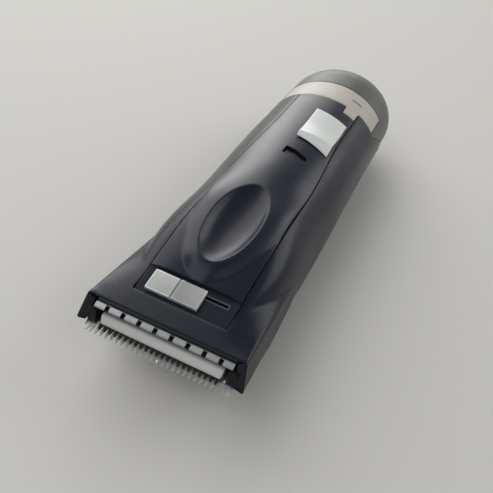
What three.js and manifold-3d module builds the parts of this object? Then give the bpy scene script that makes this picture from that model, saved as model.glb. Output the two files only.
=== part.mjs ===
// Cordless hair clipper with a thinning guard, modelled in millimetres.
// Y runs from the blade (front) to the tail, X across the head, +Z up from the table it lies on.
// Every shape is worked out from the lip's top edge (Y = 0) and the handle's centre line (Z = 0),
// and the finished clipper is then moved so that its origin is under its middle, on the table.

import * as THREE from 'three';
import { mergeVertices } from 'three/addons/utils/BufferGeometryUtils.js';
import Module from 'manifold-3d';

const wasm = await Module();
wasm.setup();

// ---------------------------------------------------------------------------------------------
// Driving dimensions
// ---------------------------------------------------------------------------------------------

const gap = 0.3;                 // clearance between neighbouring pieces
const wall = 2;                  // side and belly wall of the mouldings
const roofWall = 2.6;            // wall of the top cover, which carries the thumb dish

const handleWidth = 46.2;
const handleThickness = 35.4;
const bodyLength = 163;          // lip edge to the flat end of the tail
const waistDrop = 5.2;           // how far the handle's widest line lies under the centre line, at the front
const waistDropRear = 0.2;       // the same at the tail
const restFlat = 0.4;            // how much of the belly's roundness is planed off to lie on

const headWidth = 48;            // across the lip's top edge
const headFlare = 1.3;           // how far the head's side walls lean out at their foot
const lipHeight = 6;             // lip's top edge above the handle's centre line
const headSlope = 0.078;         // rise of the head's flat top per mm of length
const faceLean = 0.4;            // forward lean of the head's open front per mm of drop
const cheekDrop = 2.5;           // cheeks' lower edge below the centre line
const cheekWall = 2.6;
const lipThickness = 1.6;
const noseY = 7.2;               // where the handle's nose rises out of the head's flat top
const edgeDraw = 0.031;          // how far each top edge of the head draws in per mm of length
const edgeFall = 0.116;          // how far it falls per mm of length
const noseHalf = 16;             // half-width of the nose where it starts
const waistY = 60;               // where the head has faded into the handle
const handleTaper = 1.5;         // how much each side of the handle narrows towards the tail
const seatDepth = 12;            // length of the comb's seat under the head

const pocketLength = 9.3;        // thumb slider's pocket
const pocketFrontStep = 0.7;     // pocket floor below the lip plane, at its front
const pocketRearStep = 1.25;     // pocket floor below the ridge, at its rear
const coverHalf = 12;            // half-width of the top cover at its rear
const coverSwell = 2.2;          // how much wider each side of the cover is beside the boss

const dishLength = 35.2;          // thumb dish
const dishWidth = 15.2;
const dishDepth = 3.1;
const dishFront = 22.5;          // lip edge to the dish's front rim
const bossHalf = 14.8;
const bossTail = 18;             // how far the boss runs out behind its widest place
const bossRise = 2.3;            // height of the boss over the cover, at its front

const capLength = 22.7;
const bandLength = 13.4;
const bandReach = 9;             // lower ends of the band, above the centre line
const tabLeft = 7;               // left edge of the band's tongue, which runs forward beside the switch
const tabReach = 5;
const capEar = 12.5;             // how far the cap's ears reach forward under the band's ends
const spigotReach = 7;           // how far the cap plugs into the housings
const spigotWall = 1.4;

const combWidth = 45.4;
const combThickness = 1.1;
const combReach = 5.3;           // lip edge to tooth tips
const toothCount = 28;
const toothLength = 3.9;
const toothRoot = 1.05;
const toothTip = 0.55;

const cutterThickness = 0.7;
const cutterTeeth = 23;
const cutterSetback = 0.9;       // moving teeth behind the comb's tips
const cutterDepth = 8;
const cutterStroke = 1.2;        // half of the cutter's side-to-side travel: the crank's throw
const barWidth = 37;             // plastic bar on the moving cutter
const barHeight = 2.4;

const tabCount = 9;
const tabPitch = 4.9;
const tabWidth = 3.6;
const tabLength = 1.4;
const tabBend = 0.35;            // fall of the tabs per mm of length
const guardThickness = 0.55;
const guardTravel = 3;

const sliderWidth = 16.1;
const sliderLength = 6.9;
const sliderThickness = 1.15;
const sliderTravel = 8.7;
const stemWidth = 13.4;
const stemThickness = 0.6;
const camPinRadius = 0.8;

const switchLength = 22;
const switchRise = 1.7;
const switchTravel = 4;
const windowWidth = 8.2;

const motorRadius = 9;
const motorLength = 24;
const motorHeight = -1;          // motor's axis from the handle's centre line
const shaftRadius = 1;
const crankPinRadius = 1.1;

const cellRadius = 7.1;
const postRadius = 2.9;
const screwRadius = 1.3;
const screwHeadRadius = 2.6;

const plugRecessRadius = 4.7;
const plugRecessDepth = 5;

// ---------------------------------------------------------------------------------------------
// Places worked out from the dimensions
// ---------------------------------------------------------------------------------------------

const handleHalf = handleWidth / 2;
const handleTop = handleThickness / 2;
const headHalf = headWidth / 2;
const restZ = restFlat - handleTop;
const capFront = bodyLength - capLength;
const bandFront = capFront - bandLength;
const coverRear = bandFront - gap;
const pocketRear = noseY + pocketLength;
const mouthHalf = headHalf - cheekWall;
const lipUnder = lipHeight - lipThickness;

const combTop = -cheekDrop - 0.1;
const combBottom = combTop - combThickness;
const cutterBottom = combTop + gap;
const cutterTop = cutterBottom + cutterThickness;
const barBottom = cutterTop + 0.2;
const barTop = barBottom + barHeight;
const guardTop = lipUnder - gap;
const guardBottom = guardTop - guardThickness;

const combRear = seatDepth - 0.5;

const mix = (from, to, share) => from + (to - from) * share;
const clamp01 = (value) => Math.min(1, Math.max(0, value));
const smooth = (value) => clamp01(value) ** 2 * (3 - 2 * clamp01(value));

// Straight ramp that rounds off into its level end.
function softRamp(t) {
  if (t <= 0.75) return Math.max(0, t);
  const late = Math.min(t, 1.25) - 0.75;
  return 0.75 + late - late * late;
}

// Smooth line through a few [y, value] points.
function lineThrough(points) {
  const slopes = points.map((point, k) => {
    const before = points[Math.max(0, k - 1)];
    const after = points[Math.min(points.length - 1, k + 1)];
    return (after[1] - before[1]) / (after[0] - before[0]);
  });
  return (y) => {
    if (y <= points[0][0]) return points[0][1];
    const k = points.findIndex((point) => y <= point[0]);
    if (k < 0) return points[points.length - 1][1];
    const [y0, v0] = points[k - 1];
    const [y1, v1] = points[k];
    const h = y1 - y0;
    const t = (y - y0) / h;
    const ease = t * t * (3 - 2 * t);
    const bend = h * t * (1 - t) * (slopes[k - 1] * (1 - t) - slopes[k] * t);
    return mix(v0, v1, ease) + bend;
  };
}

const headTop = (y) => lipHeight + headSlope * y;
const noseShare = (y) => softRamp((y - noseY) / (waistY - noseY));

// Handle and nose: one superellipse section whose size and squareness follow the length.
const taper = (y) => handleTaper * smooth((y - waistY) / (bodyLength - waistY));
const halfWidthAt = (y) => {
  const nose = Math.sin(clamp01((y - noseY) / 40) * Math.PI / 2);
  return mix(noseHalf, handleHalf, nose) - taper(y);
};
const crestAt = (y) => mix(headTop(y), handleTop, noseShare(y));
const squarenessAt = (y) => mix(4.2, 2, noseShare(y));
// Height of the widest line: it sinks behind the head and climbs again towards the tail.
const widestAt = (y) => {
  const drop = mix(waistDrop, waistDropRear, smooth((y - waistY + 10) / 60));
  return -drop * smooth((y - 15) / 35);
};
const bellyAt = (y) => mix(-cheekDrop - combThickness, -handleTop, smooth((y - seatDepth / 3) / 46));

// Head: a wedge with leaning sides. Its top edges fall and draw in until they sink into the handle.
const wedgeRear = waistY - 8;
const fade = (y) => smooth((y - 25) / (waistY - 25));
const wedgeHalfAt = (y) => headHalf - edgeDraw * Math.max(0, y);
const wedgeFootAt = (y) => mix(headHalf + headFlare, handleHalf - 0.3, clamp01(y / wedgeRear));
const edgeTopAt = (y) => lipHeight - edgeFall * Math.max(0, y);
const wedgeBottomAt = (y) => mix(Math.max(bellyAt(y), -7.5), -5, fade(y));

// Height of the head's top across it: level in the middle, falling to the edges.
const headSurface = (x, y) => {
  const level = 13;
  const share = clamp01((Math.abs(x) - level) / (wedgeHalfAt(y) - level));
  return mix(headTop(y), edgeTopAt(y), y > 0 ? share ** 1.6 : 0);
};

// ---------------------------------------------------------------------------------------------
// Solid helpers
// ---------------------------------------------------------------------------------------------

function solidOf(geometry) {
  const bare = geometry.clone();
  bare.deleteAttribute('normal');
  bare.deleteAttribute('uv');
  const merged = mergeVertices(bare, 1e-5);
  const vertProperties = new Float32Array(merged.attributes.position.array);
  const triVerts = new Uint32Array(merged.index.array);
  return new wasm.Manifold(new wasm.Mesh({ numProp: 3, vertProperties, triVerts }));
}

function geometryOf(solid) {
  const mesh = solid.getMesh();
  const geometry = new THREE.BufferGeometry();
  geometry.setAttribute('position', new THREE.BufferAttribute(new Float32Array(mesh.vertProperties), 3));
  geometry.setIndex(new THREE.BufferAttribute(new Uint32Array(mesh.triVerts), 1));
  geometry.computeVertexNormals();
  return geometry;
}

const joined = (first, ...others) => others.reduce((sum, other) => sum.add(other), first);
const cut = (first, ...others) => others.reduce((rest, other) => rest.subtract(other), first);

// Block between two corners.
function block(x0, x1, y0, y1, z0, z1) {
  const geometry = new THREE.BoxGeometry(x1 - x0, y1 - y0, z1 - z0);
  geometry.translate((x0 + x1) / 2, (y0 + y1) / 2, (z0 + z1) / 2);
  return solidOf(geometry);
}

// Round bar along Y.
function roundBar(radius, x, z, y0, y1, sides = 24, rearRadius = radius) {
  const geometry = new THREE.CylinderGeometry(rearRadius, radius, y1 - y0, sides);
  geometry.translate(x, (y0 + y1) / 2, z);
  return solidOf(geometry);
}

// Round post along Z.
function post(radius, x, y, z0, z1, sides = 12, topRadius = radius) {
  const geometry = new THREE.CylinderGeometry(topRadius, radius, z1 - z0, sides);
  geometry.rotateX(Math.PI / 2);
  geometry.translate(x, y, (z0 + z1) / 2);
  return solidOf(geometry);
}

// Outline drawn in plan (x, y), raised from z0 to z1.
function plate(outline, z0, z1) {
  const shape = new THREE.Shape(outline.map(([x, y]) => new THREE.Vector2(x, y)));
  const geometry = new THREE.ExtrudeGeometry(shape, { depth: z1 - z0, bevelEnabled: false });
  geometry.translate(0, 0, z0);
  return solidOf(geometry);
}

// Outline drawn from the side (y, z), spread from x0 to x1.
function sidePlate(outline, x0, x1) {
  const shape = new THREE.Shape(outline.map(([y, z]) => new THREE.Vector2(y, z)));
  const geometry = new THREE.ExtrudeGeometry(shape, { depth: x1 - x0, bevelEnabled: false });
  const toSide = new THREE.Matrix4().set(0, 0, 1, x0, 1, 0, 0, 0, 0, 1, 0, 0, 0, 0, 0, 1);
  geometry.applyMatrix4(toSide);
  return solidOf(geometry);
}

// Closed skin over a row of upright rings that hold the same number of points, counter-clockwise
// seen from the front, with a flat face over each end.
function loft(rings) {
  const count = rings[0].length;
  const triangles = [];
  for (let r = 0; r + 1 < rings.length; r += 1) {
    for (let k = 0; k < count; k += 1) {
      const a = r * count + k;
      const b = r * count + (k + 1) % count;
      triangles.push(a, b + count, b, a, a + count, b + count);
    }
  }
  [0, rings.length - 1].forEach((r) => {
    const flat = rings[r].map((point) => new THREE.Vector2(point.x, point.z));
    THREE.ShapeUtils.triangulateShape(flat, []).forEach((face) => {
      const facesFront = THREE.ShapeUtils.area(face.map((k) => flat[k])) > 0;
      const outward = facesFront === (r === 0) ? face : [...face].reverse();
      triangles.push(...outward.map((k) => r * count + k));
    });
  });
  const geometry = new THREE.BufferGeometry().setFromPoints(rings.flat());
  geometry.setIndex(triangles);
  return solidOf(geometry);
}

// Ring of a superellipse that has its own height above and below its widest line.
function ellipseRing(y, half, top, bottom, squareness, widest = 0, count = 32) {
  return Array.from({ length: count }, (unused, k) => {
    const angle = (k + 0.5) / count * 2 * Math.PI;
    const across = Math.cos(angle);
    const up = Math.sin(angle);
    const power = up > 0 ? 2 / squareness : 2 / mix(squareness, 2.1, 0.7);
    const x = half * Math.sign(across) * Math.abs(across) ** power;
    const reach = up > 0 ? top - widest : bottom - widest;
    return new THREE.Vector3(x, y, widest + reach * Math.abs(up) ** power);
  });
}

// Ring of the head: crowned top, rounded edges and leaning sides.
function wedgeRing(y) {
  const half = wedgeHalfAt(y);
  const foot = wedgeFootAt(y);
  const bottom = wedgeBottomAt(y);
  const edgeRound = 0.8;
  const footRound = 2;
  const arc = (x, z, radius, quarter) => [0, 1, 2, 3].map((step) => {
    const angle = (quarter + step / 3) * Math.PI / 2;
    return new THREE.Vector3(x + radius * Math.cos(angle), y, z + radius * Math.sin(angle));
  });
  const crown = [0.8, 0.62, 0.25, -0.25, -0.62, -0.8].map((share) =>
    new THREE.Vector3(share * half, y, headSurface(share * half, y)));
  return [
    ...arc(half - edgeRound, edgeTopAt(y) - edgeRound, edgeRound, 0),
    ...crown,
    ...arc(edgeRound - half, edgeTopAt(y) - edgeRound, edgeRound, 1),
    ...arc(footRound - foot, bottom + footRound, footRound, 2),
    ...arc(foot - footRound, bottom + footRound, footRound, 3),
  ];
}

// ---------------------------------------------------------------------------------------------
// Outer form and hollow of the body
// ---------------------------------------------------------------------------------------------

const noseStations = [0, 3, 6, 9.3, 14, 19, 25, 31, 38, 45, 52.8, 60, 68].map((step) => noseY + step);
const handleStations = [0.3, 0.65, 1].map((share) => mix(waistY + 15.2, capFront, share));
const bodyStations = [...noseStations, ...handleStations];

// Tail: the section closes in to a flat end over a rounded shoulder.
const shoulder = 15;
const endFlatShare = 0.5;
function tailRing(share, inset) {
  const angle = share * Math.PI / 2;
  const y = bodyLength - shoulder + shoulder * Math.sin(angle) - (share === 1 ? inset : 0);
  const close = mix(endFlatShare, 1, Math.cos(angle) ** 0.75);
  const half = halfWidthAt(bodyLength - shoulder) - inset;
  const height = (handleTop - inset) * close;
  return ellipseRing(y, half * close, height, -height, 2, widestAt(bodyLength) * close);
}
const tailShares = [0, 0.25, 0.5, 0.7, 0.85, 0.95, 1];

function bodyLoft(inset, roofInset, stations, tailInset = inset) {
  const rings = stations.map((y) => ellipseRing(
    y, halfWidthAt(y) - inset, crestAt(y) - roofInset, bellyAt(y) + inset, squarenessAt(y), widestAt(y)));
  return loft([...rings, ...tailShares.map((share) => tailRing(share, tailInset))]);
}

function wedgeLoft() {
  const stations = [-10, 0, 9, 18, 27, 35, 43, wedgeRear];
  return loft(stations.map(wedgeRing));
}

// Boss that carries the thumb dish: a teardrop nose rising from the cover.
const dishMiddle = dishFront + dishLength / 2;
const bossFront = dishFront - 6.2;
const bossMiddle = dishMiddle + 9.9;
const bossOver = lineThrough([
  [bossFront, -0.6], [bossFront + 1.9, 0.8], [bossFront + 5.8, bossRise * 0.95],
  [bossFront + 9.5, bossRise], [dishMiddle, bossRise * 0.62], [dishFront + dishLength, 0.15],
  [dishFront + dishLength + 9, -0.7],
]);
function bossLoft() {
  const steps = [0, 0.6, 1.5, 3, 5.5, 9, 13.5, 19, 25, 31, 37, 43, 47.5, 51];
  return loft(steps.map((step) => {
    const y = bossFront + step;
    const isFront = y < bossMiddle;
    const reach = Math.abs(y - bossMiddle) / (isFront ? bossMiddle - bossFront + 0.3 : bossTail);
    const half = bossHalf * Math.sqrt(1 - reach * reach);
    const top = crestAt(y) + bossOver(y);
    const foot = crestAt(y) - 5;
    const ring = ellipseRing(y, half, top - foot, -0.5, 2.7, 0, 24);
    ring.forEach((point) => { point.z += foot; });
    return ring;
  }));
}

function dishSolid(extra) {
  const rimFront = crestAt(dishFront) + bossOver(dishFront);
  const rimRear = crestAt(dishFront + dishLength) + bossOver(dishFront + dishLength);
  const geometry = new THREE.SphereGeometry(1, 28, 14);
  geometry.rotateX(Math.PI / 2);
  geometry.scale(dishWidth / 2 + extra, dishLength / 2 + extra, dishDepth + extra);
  geometry.rotateX(Math.atan((rimRear - rimFront) / dishLength));
  geometry.translate(0, dishMiddle, (rimFront + rimRear) / 2 + 0.45);
  return solidOf(geometry);
}

const far = 60;
const frontFace = sidePlate([
  [-faceLean * (lipHeight + far), -far], [bodyLength + far, -far],
  [bodyLength + far, far], [faceLean * (far - lipHeight), far],
], -far, far);
const underRest = block(-far, far, -far, bodyLength + far, -far, restZ);

const outerBody = cut(
  joined(bodyLoft(0, 0, bodyStations), wedgeLoft(), bossLoft()).intersect(frontFace),
  underRest,
);
const hollowStations = [
  combRear - 0.5,
  ...bodyStations.filter((y, k) => y > seatDepth + 2 && (k % 2 === 1 || y > waistY)),
];
const mouthNotch = mouthHalf + 0.9;
const hollow = joined(
  bodyLoft(wall, roofWall, hollowStations).subtract(dishSolid(wall)),
  block(-mouthHalf, mouthHalf, -far, combRear + gap, -far, lipUnder),
  block(-mouthNotch, mouthNotch, -far, 1.5, -far, guardBottom - 0.4),
);
const shell = outerBody.subtract(hollow);

// ---------------------------------------------------------------------------------------------
// Region of the top cover, the band and the cap
// ---------------------------------------------------------------------------------------------

const coverHalfAt = (y) => coverHalf + coverSwell * (1 - smooth((y - waistY - 4) / 44));

function coverRegion(grow) {
  const front = noseY - grow;
  const rear = coverRear + grow;
  const ys = [front, waistY, 72, 80, 88, 96, 104, 112, rear];
  const right = ys.map((y) => [coverHalfAt(y) + grow, y]);
  const left = ys.map((y) => [-coverHalfAt(y) - grow, y]).reverse();
  return plate([...right, ...left], guardBottom, far);
}

// The cap's joint runs down behind the band, forward under its ends and back to the belly.
function capRegion(grow) {
  const earZ = bandReach - gap;
  const earFront = capFront - capEar;
  return sidePlate([
    [capFront - grow, far], [capFront - grow, earZ + grow], [earFront - grow, earZ + grow],
    [earFront - grow, earZ - 1.2 - 0.6 * grow], [capFront - 2.2 - grow, 1.5 - 0.6 * grow],
    [capFront - 2.2 - grow, -far],
    [bodyLength + far, -far], [bodyLength + far, far],
  ], -far, far);
}

const bandRegion = (grow) => joined(
  sidePlate([
    [bandFront - grow, far], [bandFront + 1.2 - grow, bandReach - grow],
    [capFront - gap, bandReach - grow], [capFront - gap, far],
  ], -far, far),
  block(tabLeft - grow, coverHalfAt(coverRear) + grow, bandFront - tabReach - grow, bandFront + 2, 5, far),
);

// ---------------------------------------------------------------------------------------------
// Head: lip, thinning guard, comb and cutter
// ---------------------------------------------------------------------------------------------

// Row of tapered teeth pointing forward along -Y, on a plate behind them.
function toothedPlate({ width, count, tip, root, rear, lip, tipWidth, rootWidth, endWidth }) {
  const pitch = (width - endWidth) / (count - 1);
  const outline = [];
  for (let k = 0; k < count; k += 1) {
    const x = (k - (count - 1) / 2) * pitch;
    const isEnd = k === 0 || k === count - 1;
    const halfRoot = isEnd ? endWidth / 2 : rootWidth / 2;
    const halfTip = isEnd ? endWidth * 0.32 : tipWidth / 2;
    outline.push([x - halfRoot, root], [x - halfTip, tip + lip]);
    outline.push([x - halfTip * 0.5, tip], [x + halfTip * 0.5, tip]);
    outline.push([x + halfTip, tip + lip], [x + halfRoot, root]);
  }
  outline.push([width / 2, rear - 2], [width / 2 - 2, rear], [-width / 2 + 2, rear], [-width / 2, rear - 2]);
  return outline;
}

const combTip = -combReach;
const combScrewX = mouthHalf - 7.4;
const combScrewY = combRear - 3.2;

// Countersunk form of a comb screw: its cone sinks into the comb and its shank stands above it.
function countersink(side, grow) {
  const x = side * combScrewX;
  const cone = post(screwHeadRadius + grow, x, combScrewY, combBottom, combTop, 16, screwRadius + grow);
  const mouth = post(screwHeadRadius + grow, x, combScrewY, combBottom - 1, combBottom + 0.01, 16);
  const shank = post(screwRadius + grow, x, combScrewY, combTop - 0.1, frameTop + 1.4, 16);
  return grow > 0 ? joined(cone, mouth, shank) : joined(cone, shank);
}

function makeComb() {
  const outline = toothedPlate({
    width: combWidth, count: toothCount, tip: combTip, root: combTip + toothLength, rear: combRear,
    lip: 0.7, tipWidth: toothTip, rootWidth: toothRoot, endWidth: 2,
  });
  const tipBevel = sidePlate([
    [combTip - 1, combTop + 1], [combTip - 1, combTop - 0.75], [combTip + 2.6, combTop + 0.01],
    [combTip + 2.6, combTop + 1],
  ], -far, far);
  const relief = sidePlate([
    [combTip - 1, combBottom - 1], [combTip - 1, combBottom + 0.5], [combTip + 1.4, combBottom],
    [combTip + 1.4, combBottom - 1],
  ], -far, far);
  const screwHoles = [-1, 1].map((side) => countersink(side, gap));
  return cut(plate(outline, combBottom, combTop), tipBevel, relief, ...screwHoles);
}

const cutterTip = combTip + cutterSetback;
const cutterWidth = (cutterTeeth - 1) * (combWidth - 2) / (toothCount - 1) + toothRoot;

function makeCutter() {
  const outline = toothedPlate({
    width: cutterWidth, count: cutterTeeth, tip: cutterTip, root: cutterTip + 3.1,
    rear: cutterTip + cutterDepth, lip: 0.3, tipWidth: 0.7, rootWidth: toothRoot, endWidth: toothRoot,
  });
  return plate(outline, cutterBottom, cutterTop);
}

// Carrier: the plastic bar that is seen in the mouth, a deck behind it and the drive fork.
const barFront = -2.75;
const barRear = -0.3;
const deckBottom = combTop + 2.2;
const deckTop = deckBottom + 1.3;
const forkFront = 17;
const forkRear = 21;

function makeCarrier() {
  const half = barWidth / 2;
  const bar = sidePlate([
    [barFront, barBottom], [barFront + 0.1, barBottom + 0.9], [barFront + 1.1, barTop - 0.2],
    [barFront + 1.6, barTop], [barRear, barTop], [barRear + 2.4, barBottom],
  ], -half, half);
  const endRound = [-1, 1].map((side) => plate([
    [side * half, barFront - 1], [side * (half - 0.9), barFront - 1], [side * half, barFront + 0.9],
    [side * (half + 1), barFront + 0.9], [side * (half + 1), barFront - 1],
  ], barBottom - 1, barTop + 1));
  const deck = plate([
    [-9.5, barRear], [9.5, barRear], [9.5, 8], [4.5, 13], [4.5, forkFront + 0.5],
    [-4.5, forkFront + 0.5], [-4.5, 13], [-9.5, 8],
  ], deckBottom, deckTop);
  const fork = block(-4.5, 4.5, forkFront, forkRear, motorHeight - 2.5, deckTop + 0.6);
  const slotHalf = crankPinRadius + 0.12;
  const slot = block(-slotHalf, slotHalf, forkFront - 1, forkRear + 1, motorHeight - 3.5, deckBottom - 0.2);
  return cut(joined(bar, deck, fork), slot, ...endRound);
}

// Frame that the comb is screwed to; it closes the mouth's floor behind the cutter.
const frameFront = cutterTip + cutterDepth + 1;
const frameRear = combRear;
const frameTop = combTop + 1.8;

function makeFrame() {
  const half = mouthHalf - gap;
  const deck = block(-half, half, frameFront, frameRear, combTop + gap, frameTop);
  const bosses = [-1, 1].map((side) =>
    post(2.7, side * combScrewX, combScrewY, combTop + gap, frameTop + 1.9));
  const bores = [-1, 1].map((side) =>
    post(screwRadius + gap, side * combScrewX, combScrewY, combTop - 1, frameTop + 3));
  const rails = [-1, 1].map((side) => block(
    side > 0 ? half - 1.6 : -half, side > 0 ? half : -half + 1.6, frameFront, frameRear,
    frameTop - 0.1, guardBottom - gap));
  return cut(joined(deck, ...bosses, ...rails), ...bores);
}

function makeCombScrew(side) {
  const x = side * combScrewX;
  const slot = block(x - far, x + far, combScrewY - 0.35, combScrewY + 0.35,
    combBottom - 1, combBottom + 0.45);
  return cut(countersink(side, 0), slot);
}

// Hairpin wire that presses the carrier down on the comb.
function makeTensionSpring() {
  const wire = 0.45;
  const high = frameTop + 1.9 + wire + gap;
  const low = deckTop + wire + gap;
  const points = [
    [-combScrewX, combScrewY, high], [-combScrewX + 1, 4, high], [-7.5, 2.6, low + 0.4],
    [-6, 6, low], [-3, 9.5, low], [0, 10.6, low], [3, 9.5, low], [6, 6, low],
    [7.5, 2.6, low + 0.4], [combScrewX - 1, 4, high], [combScrewX, combScrewY, high],
  ].map(([x, y, z]) => new THREE.Vector3(x, y, z));
  const path = new THREE.CatmullRomCurve3(points);
  const section = new THREE.Shape().absarc(0, 0, wire, 0, 2 * Math.PI);
  return solidOf(new THREE.ExtrudeGeometry(section, {
    steps: 30, curveSegments: 3, bevelEnabled: false, extrudePath: path,
  }));
}

// Thinning guard: a plate under the lip with nine tabs, moved by a diagonal cam slot.
const tabRoot = -0.5;
const tabFront = tabRoot - tabLength;
const sliderLeft = -11.6;
const sliderFront = noseY + 1.2;
const stemY = sliderFront + sliderLength - 1.5;
const camPinX = sliderLeft + 2.6;
const guardRear = stemY + guardTravel + 3;

function makeGuard() {
  const half = mouthHalf - 0.5;
  const deck = plate([
    [-half, tabRoot], [half, tabRoot], [half, 9], [12, 11], [12, guardRear], [-13.2, guardRear],
    [-13.2, 11], [-half, 9],
  ], guardBottom, guardTop);
  const tabs = Array.from({ length: tabCount }, (unused, k) => {
    const middle = (k - (tabCount - 1) / 2) * tabPitch;
    const left = Math.max(middle - tabWidth / 2, -half);
    const right = Math.min(middle + tabWidth / 2, half);
    const drop = tabBend * tabLength;
    return sidePlate([
      [tabRoot + 0.4, guardBottom], [tabRoot + 0.4, guardTop], [tabRoot, guardTop],
      [tabFront + 0.15, guardTop - drop], [tabFront, guardTop - drop - 0.25],
      [tabFront, guardBottom - drop], [tabRoot, guardBottom],
    ], left, right);
  });
  const run = new THREE.Vector2(sliderTravel, guardTravel);
  const along = run.clone().normalize();
  const across = new THREE.Vector2(-along.y, along.x);
  const halfSlot = camPinRadius + 0.25;
  const slotCorner = (share, reach, side) => {
    const corner = new THREE.Vector2(camPinX, stemY).addScaledVector(run, share);
    corner.addScaledVector(along, reach).addScaledVector(across, side * halfSlot);
    return [corner.x, corner.y];
  };
  const slot = plate([
    slotCorner(0, -halfSlot, -0.5), slotCorner(0, -halfSlot * 0.5, -1), slotCorner(1, halfSlot * 0.5, -1),
    slotCorner(1, halfSlot, -0.5), slotCorner(1, halfSlot, 0.5), slotCorner(1, halfSlot * 0.5, 1),
    slotCorner(0, -halfSlot * 0.5, 1), slotCorner(0, -halfSlot, 0.5),
  ], guardBottom - 1, guardTop + 1);
  return cut(joined(deck, ...tabs), slot);
}

// Pocket of the thumb slider.
const floorFront = headTop(noseY) - pocketFrontStep;
const floorRear = crestAt(pocketRear) - pocketRearStep;
const floorTilt = Math.atan2(floorRear - floorFront, pocketLength);
const floorAt = (y) => floorFront + (y - noseY) * Math.tan(floorTilt);

function makeSlider() {
  const half = sliderWidth / 2;
  const profile = new THREE.Shape([
    [-half, 0], [half, 0], [half, sliderThickness - 0.45], [half - 0.45, sliderThickness],
    [1.6, sliderThickness], [1.2, sliderThickness + 0.45], [0.1, sliderThickness + 0.45],
    [-0.25, sliderThickness - 0.35], [-0.75, sliderThickness - 0.35], [-0.95, sliderThickness],
    [-half + 0.45, sliderThickness], [-half, sliderThickness - 0.45],
  ].map(([x, z]) => new THREE.Vector2(x, z)));
  const bevel = 0.25;
  const geometry = new THREE.ExtrudeGeometry(profile, {
    depth: sliderLength - 2 * bevel, bevelEnabled: true, bevelThickness: bevel, bevelSize: bevel,
    bevelOffset: -bevel, bevelSegments: 1,
  });
  geometry.rotateX(Math.PI / 2);
  geometry.translate(0, sliderLength - bevel, 0);
  geometry.rotateX(floorTilt);
  geometry.translate(sliderLeft + half, sliderFront, floorAt(sliderFront) + gap);
  const stemLeft = sliderLeft + 0.6;
  const stem = block(stemLeft, stemLeft + stemWidth, stemY - stemThickness / 2, stemY + stemThickness / 2,
    guardTop + gap, floorAt(stemY) + gap + 0.3);
  return solidOf(geometry).add(stem);
}

function makeCamPin() {
  return post(camPinRadius, camPinX, stemY, guardBottom - 0.4, guardTop + gap - 0.05, 16);
}

// ---------------------------------------------------------------------------------------------
// Drive, battery and electrics
// ---------------------------------------------------------------------------------------------

const diskFront = forkRear + 1.2;
const diskRear = diskFront + 3.4;
const motorFront = diskRear + 12;
const motorRear = motorFront + motorLength;
const middlePostY = motorRear + postRadius + 1.2;
const rearPostY = bandFront - postRadius - 1;
const cellFront = middlePostY + postRadius + 1.4;
const cellRear = rearPostY - postRadius - 1.4;
const cellSpread = cellRadius + 0.5;
const cellHeight = -6;
const frontPostY = 29;
const frontPostX = coverHalfAt(frontPostY) - postRadius - 0.3;

function makeMotor() {
  const can = roundBar(motorRadius, 0, motorHeight, motorFront, motorRear - 2.4, 24);
  const endBell = roundBar(motorRadius - 1, 0, motorHeight, motorRear - 2.5, motorRear, 24);
  const nose = roundBar(3, 0, motorHeight, motorFront - 1.6, motorFront + 0.1, 16);
  const bore = roundBar(shaftRadius + gap, 0, motorHeight, motorFront - 4, motorFront + 5, 12);
  return cut(joined(can, endBell, nose), bore);
}

function makeShaft() {
  return roundBar(shaftRadius, 0, motorHeight, diskFront + 1, motorFront + 4.4, 12);
}

function makeEccentric() {
  const disk = roundBar(3.4, 0, motorHeight, diskFront, diskRear, 20);
  const hub = roundBar(2.1, 0, motorHeight, diskRear - 0.1, diskRear + 3, 16);
  const pin = roundBar(crankPinRadius, 0, motorHeight + cutterStroke, forkRear + 0.4, diskFront + 0.1, 12);
  const bore = roundBar(shaftRadius + 0.05, 0, motorHeight, diskFront + 0.9, diskRear + 5, 12);
  return cut(joined(disk, hub, pin), bore);
}

function makeCell(side) {
  const x = side * cellSpread;
  const can = roundBar(cellRadius, x, cellHeight, cellFront, cellRear - 1, 18);
  const button = roundBar(2.6, x, cellHeight, cellRear - 1.1, cellRear, 12);
  const crimp = cut(
    roundBar(cellRadius + 1, x, cellHeight, cellRear - 3, cellRear - 2.2, 18),
    roundBar(cellRadius - 0.4, x, cellHeight, cellRear - 4, cellRear - 1, 18),
  );
  return cut(joined(can, button), crimp);
}

function makeContactStrip() {
  const half = cellSpread + 3;
  const strip = block(-half, half, cellRear + gap, cellRear + gap + 0.5, cellHeight - 2.6, cellHeight + 2.6);
  return cut(strip, block(-2, 2, cellRear, cellRear + 2, cellHeight - 4, cellHeight - 1));
}

const trayTop = cellHeight + cellRadius + 2.4;
const boardBottom = trayTop + gap;
const boardThickness = 1.2;

function makeTray() {
  const half = cellSpread + cellRadius - 1.5;
  const saddle = block(-half, half, cellFront + 1, cellRear - 1.5, cellHeight + 2.5, trayTop);
  const beds = [-1, 1].map((side) =>
    roundBar(cellRadius + gap, side * cellSpread, cellHeight, cellFront - 1, cellRear + 1, 24));
  const window = block(-half + 3, half - 3, cellFront + 12, cellRear - 12, cellHeight + 3, trayTop + 1);
  return cut(saddle, ...beds, window);
}

function makeBoard() {
  const half = 11;
  const rear = cellRear + 1.5;
  return plate([
    [-half, cellFront + 2], [half, cellFront + 2], [half, rear], [4.4, rear], [4.4, rear - 1.5],
    [-4.4, rear - 1.5], [-4.4, rear], [-half, rear],
  ], boardBottom, boardBottom + boardThickness);
}

// Switch: an off-centre saddle that rides on the cover's curve.
const switchRear = bandFront - 13.6;
const switchFront = switchRear - switchLength;
const switchLeft = -1;
const switchRight = coverHalfAt(switchRear) - 0.3;
const switchMiddle = (switchLeft + switchRight) / 2;
const switchStemX = 5.4;
const switchStemY = switchFront + 12.5;
const switchStemHalf = [2.2, 2.6];

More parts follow.
